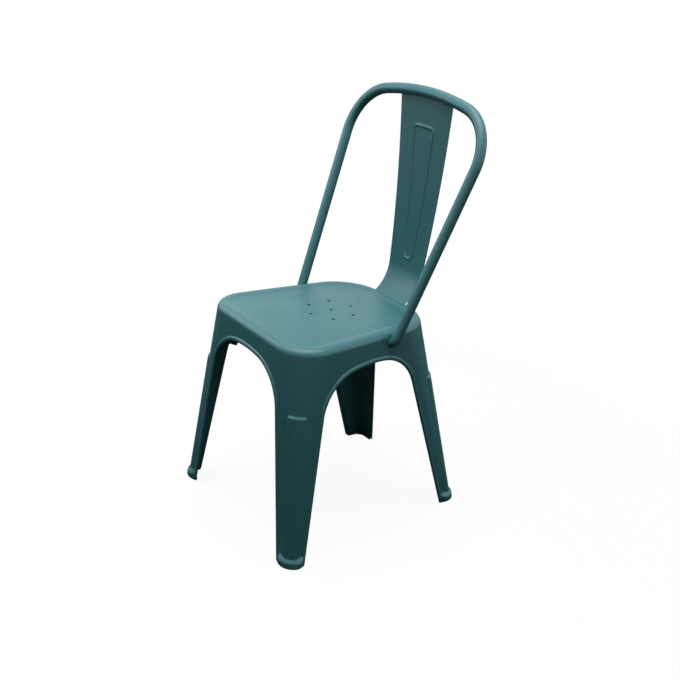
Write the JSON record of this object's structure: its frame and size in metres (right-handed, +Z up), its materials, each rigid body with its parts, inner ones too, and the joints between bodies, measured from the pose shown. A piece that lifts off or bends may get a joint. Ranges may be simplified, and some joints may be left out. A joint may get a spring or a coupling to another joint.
{
  "type": "stacking bistro chair",
  "caption": "Stacking chair of pressed steel with arched legs, a perforated seat, a bent tube back hoop and a tapered back splat.",
  "frame": {"origin": "on the floor, in the middle of the chair's width and of its length toe to toe", "axes": "+Z up from the floor, the seat faces -Y, +X towards the sitter's left"},
  "size_m": [0.4448, 0.4888, 0.847],
  "materials": {
    "painted_steel": "satin",
    "glide_plastic": "matte"
  },
  "bodies": {
    "root": {"seat_pan": "painted_steel", "back_hoop": "painted_steel", "back_splat": "painted_steel", "brace_bar_upper": "painted_steel", "brace_bar_lower": "painted_steel", "front_left_leg": "painted_steel", "front_right_leg": "painted_steel", "rear_left_leg": "painted_steel", "rear_right_leg": "painted_steel", "front_left_glide": "glide_plastic", "front_right_glide": "glide_plastic", "rear_left_glide": "glide_plastic", "rear_right_glide": "glide_plastic"}
  },
  "joints": []
}
